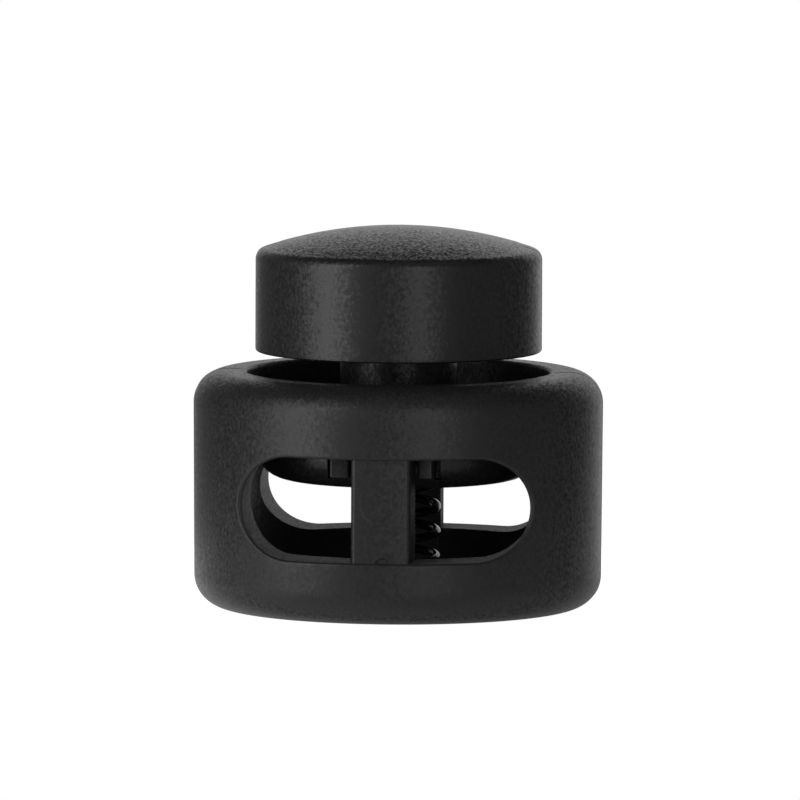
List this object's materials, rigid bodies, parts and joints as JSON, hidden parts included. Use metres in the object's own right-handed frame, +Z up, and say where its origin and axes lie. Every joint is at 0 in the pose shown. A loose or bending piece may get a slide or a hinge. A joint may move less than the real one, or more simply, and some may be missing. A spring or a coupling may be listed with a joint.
{
  "type": "cord lock",
  "caption": "Round push-button cord lock: a drum-shaped barrel with a divided cord window right through it, a domed one-piece plunger and a coil spring inside.",
  "frame": {"origin": "centre of the barrel's flat underside", "axes": "+Z up the plunger's axis, out of the button; the cords run along Y through the window; +X to the right, towards one side of the window"},
  "size_m": [0.02, 0.02, 0.0186],
  "materials": {
    "black_plastic": "moulded black plastic with a fine spark-eroded grain, semi-matte",
    "spring_steel": "bright drawn spring wire"
  },
  "bodies": {
    "barrel": {"barrel": "black_plastic", "spring": "spring_steel"},
    "plunger": {"plunger": "black_plastic"}
  },
  "joints": [
    {"name": "press", "type": "slide", "parent": "barrel", "child": "plunger", "axis": [0, 0, -1], "range_m": [0, 0.0039], "stiffness_N_per_m": 700, "springref_m": -0.00005, "deforming": ["spring"]}
  ]
}
